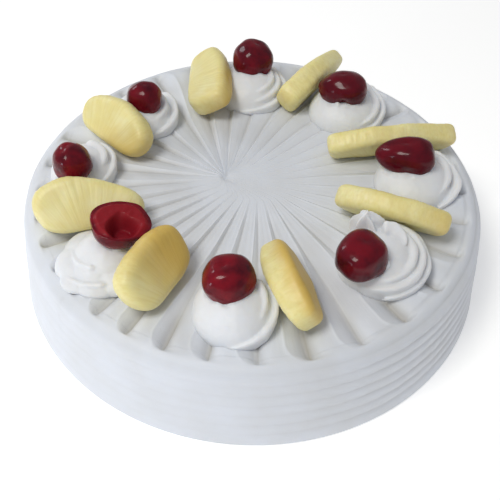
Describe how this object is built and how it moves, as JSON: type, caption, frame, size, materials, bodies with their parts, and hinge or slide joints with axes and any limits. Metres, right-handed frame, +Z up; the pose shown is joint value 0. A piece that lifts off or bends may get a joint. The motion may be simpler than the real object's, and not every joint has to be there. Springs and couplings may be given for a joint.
{
  "type": "pineapple cake",
  "caption": "Round whipped cream cake with a combed side, scraped top, and a ring of piped rosettes, each with a cherry and a leaning slab of pineapple.",
  "frame": {"origin": "middle of the flat round underside", "axes": "+Z up through the top of the cake; the pictured front faces -Y and +X is to the right of that view"},
  "size_m": [0.22, 0.2197, 0.0683],
  "materials": {
    "whipped_cream": "soft matte whipped cream",
    "cherry": "glossy syrup-coated dark red fruit skin",
    "pineapple": "moist pale yellow fibrous fruit"
  },
  "bodies": {
    "root": {"cake": "whipped_cream", "rosette_1": "whipped_cream", "rosette_2": "whipped_cream", "rosette_3": "whipped_cream", "rosette_4": "whipped_cream", "rosette_5": "whipped_cream", "rosette_6": "whipped_cream", "rosette_7": "whipped_cream", "rosette_8": "whipped_cream", "cherry_1": "cherry", "cherry_2": "cherry", "cherry_3": "cherry", "cherry_4": "cherry", "cherry_5": "cherry", "cherry_6": "cherry", "cherry_7": "cherry", "cherry_8": "cherry", "pineapple_1": "pineapple", "pineapple_2": "pineapple", "pineapple_3": "pineapple", "pineapple_4": "pineapple", "pineapple_5": "pineapple", "pineapple_6": "pineapple", "pineapple_7": "pineapple", "pineapple_8": "pineapple"}
  },
  "joints": []
}
